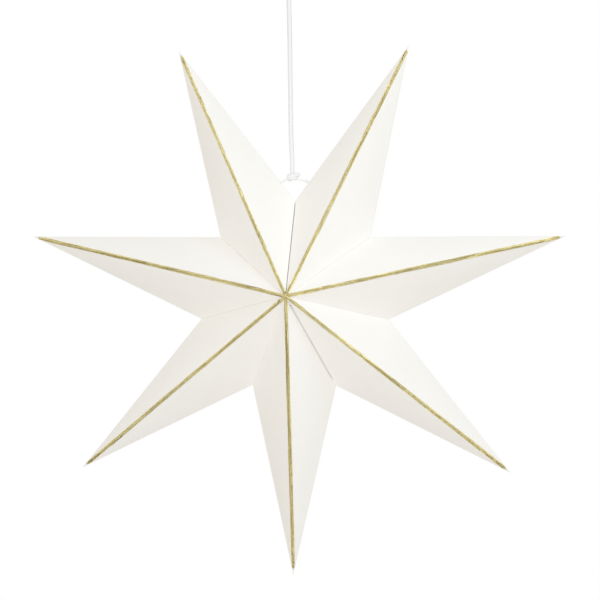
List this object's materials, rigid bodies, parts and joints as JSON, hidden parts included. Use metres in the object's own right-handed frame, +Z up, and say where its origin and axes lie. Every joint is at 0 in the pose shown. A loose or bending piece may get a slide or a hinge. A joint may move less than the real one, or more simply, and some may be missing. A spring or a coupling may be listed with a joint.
{
  "type": "paper advent star",
  "caption": "Hollow seven-pointed star of folded card with a gold glitter line on every ridge, hung by a knotted cord with a loop.",
  "frame": {"origin": "the point inside the top of the cord's loop where a hook bears", "axes": "+Z up along the cord, -Y out of the star's front, +X to the right as seen from the front"},
  "size_m": [0.585, 0.1368, 0.667],
  "materials": {
    "card": "matt off-white card with soft folds",
    "gold_glitter": "fine gold glitter in glue, mottled and sparkling",
    "white_string": "thin twisted white string",
    "white_cord": "smooth round white cord"
  },
  "bodies": {
    "root": {"point_top_left": "card", "point_top_right": "card", "point_right": "card", "point_lower_right": "card", "point_bottom": "card", "point_lower_left": "card", "point_left": "card", "glitter_front_top_left": "gold_glitter", "glitter_front_top_right": "gold_glitter", "glitter_front_right": "gold_glitter", "glitter_front_lower_right": "gold_glitter", "glitter_front_bottom": "gold_glitter", "glitter_front_lower_left": "gold_glitter", "glitter_front_left": "gold_glitter", "glitter_back_top_left": "gold_glitter", "glitter_back_top_right": "gold_glitter", "glitter_back_right": "gold_glitter", "glitter_back_lower_right": "gold_glitter", "glitter_back_bottom": "gold_glitter", "glitter_back_lower_left": "gold_glitter", "glitter_back_left": "gold_glitter", "tie_string": "white_string", "cord_knot": "white_cord", "hanging_cord": "white_cord", "hanging_loop": "white_cord"}
  },
  "joints": []
}
